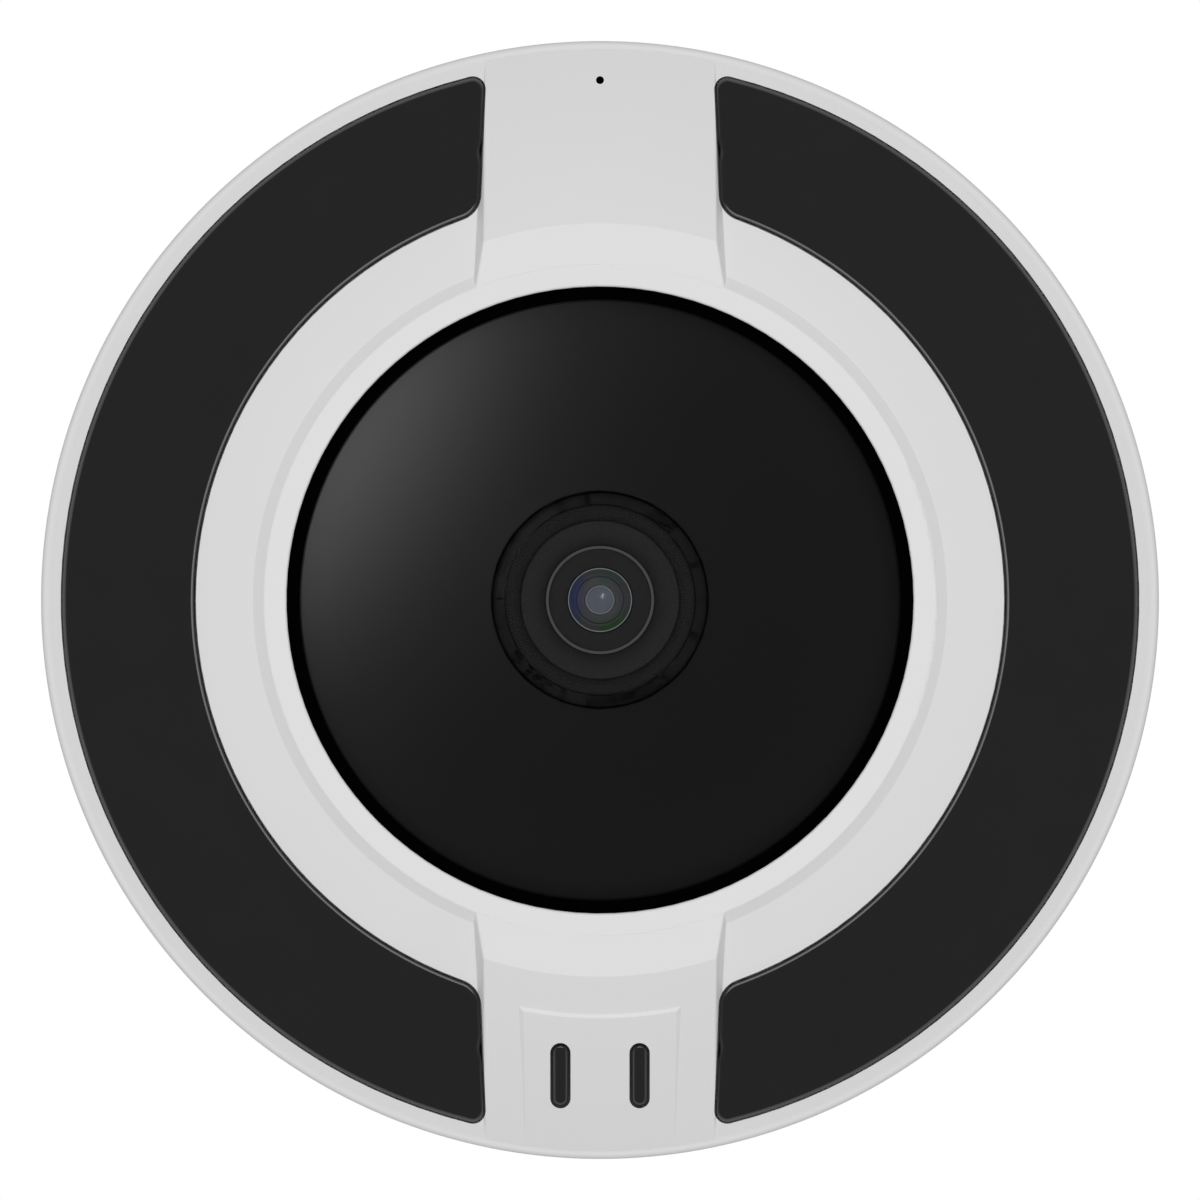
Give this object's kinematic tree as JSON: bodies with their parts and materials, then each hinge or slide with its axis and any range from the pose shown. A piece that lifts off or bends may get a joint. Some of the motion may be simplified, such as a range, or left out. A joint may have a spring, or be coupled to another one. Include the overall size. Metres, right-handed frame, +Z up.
{
  "type": "panoramic security camera",
  "caption": "Flat round wall or ceiling camera with a black dome, a clear lens bubble, crescent infrared windows and a twist-on mounting plate.",
  "frame": {"origin": "centre of the mounting plate's wall face, on the camera's axis", "axes": "-Y is the way the camera looks, +Y points into the wall, +Z is up on the wall and +X is to the right for someone who looks at the camera"},
  "size_m": [0.154, 0.0609, 0.154],
  "materials": {
    "white_cover": "fine satin moulded",
    "white_housing": "fine texture powder coat",
    "plate_steel": "zinc plated",
    "window_black": "polished infrared plastic",
    "insert_black": "polished smoked plastic",
    "dome_black": "fine matte moulded",
    "clear_dome": "clear optical plastic",
    "lens_black": "black anodised",
    "lens_glass": "coated optical glass",
    "filter_red": "coated filter glass",
    "rubber_black": "soft matte",
    "inner_black": "moulded",
    "board_green": "solder mask",
    "chip_black": "moulded",
    "sensor_ceramic": "ceramic and glass",
    "shield_steel": "tin plated",
    "pillar_brass": "turned",
    "screw_steel": "zinc plated",
    "coil_copper": "enamelled wire",
    "magnet_grey": "sintered",
    "can_aluminium": "drawn can",
    "terminal_green": "moulded",
    "ribbon_amber": "polyimide",
    "pad_grey": "soft silicone",
    "lamp_clear": "clear moulded",
    "lamp_white": "moulded"
  },
  "bodies": {
    "plate": {"mounting_plate": "plate_steel"},
    "camera": {"rear_housing": "white_housing", "cable_grommet": "rubber_black", "vent_plug": "inner_black", "main_seal": "rubber_black", "cover_screws": "screw_steel", "main_board": "board_green", "chassis_screws": "screw_steel", "processor": "chip_black", "thermal_pad": "pad_grey", "network_jack": "shield_steel", "terminal_block": "terminal_green", "card_socket": "shield_steel", "power_transformer": "chip_black", "capacitors": "can_aluminium", "reset_switch_base": "inner_black", "sensor_board": "board_green", "board_pillars": "pillar_brass", "image_sensor": "sensor_ceramic", "flex_connectors": "inner_black", "flex_cable": "ribbon_amber", "lens_mount": "inner_black", "filter_coil": "coil_copper", "lens_collar": "dome_black", "ir_carrier": "inner_black", "ir_board_right": "board_green", "ir_board_left": "board_green", "ir_leds": "lamp_white", "ir_optics": "lamp_clear", "microphone": "can_aluminium", "microphone_boot": "rubber_black", "indicator_board": "board_green", "status_led": "lamp_white", "light_sensor": "chip_black"},
    "cover": {"front_cover": "white_cover", "ir_window_right": "window_black", "ir_window_left": "window_black", "window_seal_right": "rubber_black", "window_seal_left": "rubber_black", "status_window": "insert_black", "light_sensor_window": "insert_black", "dome_shroud": "dome_black", "shroud_seal": "rubber_black", "shroud_screws": "screw_steel", "lens_bubble": "clear_dome", "bubble_seal": "rubber_black", "bubble_retainer": "inner_black"},
    "lens": {"lens_barrel": "lens_black", "lens_retaining_ring": "lens_black", "front_element": "lens_glass", "rear_lens_group": "lens_glass", "lens_lock_ring": "lens_black"},
    "filter_carriage": {"filter_frame": "inner_black", "ir_cut_filter": "filter_red", "clear_filter": "lens_glass"},
    "filter_drive": {"filter_arm": "inner_black", "rotor_magnet": "magnet_grey"},
    "card": {"memory_card": "chip_black"},
    "reset_button": {"reset_plunger": "inner_black"},
    "grub_screw": {"lock_screw": "screw_steel"}
  },
  "joints": [
    {"name": "bayonet_twist", "type": "hinge", "parent": "plate", "child": "camera", "pos_m": [0, 0, 0], "axis": [0, -1, 0], "range_deg": [0, 24]},
    {"name": "cover_removal", "type": "slide", "parent": "camera", "child": "cover", "axis": [0, -1, 0], "range_m": [0, 0.05]},
    {"name": "focus_turn", "type": "hinge", "parent": "camera", "child": "lens", "pos_m": [0, -0.04, 0], "axis": [0, -1, 0], "range_deg": [-60, 60]},
    {"name": "filter_arm_swing", "type": "hinge", "parent": "camera", "child": "filter_drive", "pos_m": [0, -0.034, 0.0156], "axis": [0, -1, 0], "range_deg": [0, 54.78]},
    {"name": "filter_shift", "type": "slide", "parent": "camera", "child": "filter_carriage", "axis": [1, 0, 0], "range_m": [0, 0.0092]},
    {"name": "card_travel", "type": "slide", "parent": "camera", "child": "card", "axis": [1, 0, 0], "range_m": [-0.0008, 0.0045]},
    {"name": "reset_press", "type": "slide", "parent": "camera", "child": "reset_button", "axis": [0, 1, 0], "range_m": [0, 0.00035], "stiffness_N_per_m": 1200},
    {"name": "lock_screw_out", "type": "slide", "parent": "camera", "child": "grub_screw", "axis": [0, 0, -1], "range_m": [0, 0.002]}
  ],
  "couplings": [
    {"joint": "filter_arm_swing", "follows": "filter_shift", "rad_per_m": 103.91}
  ]
}
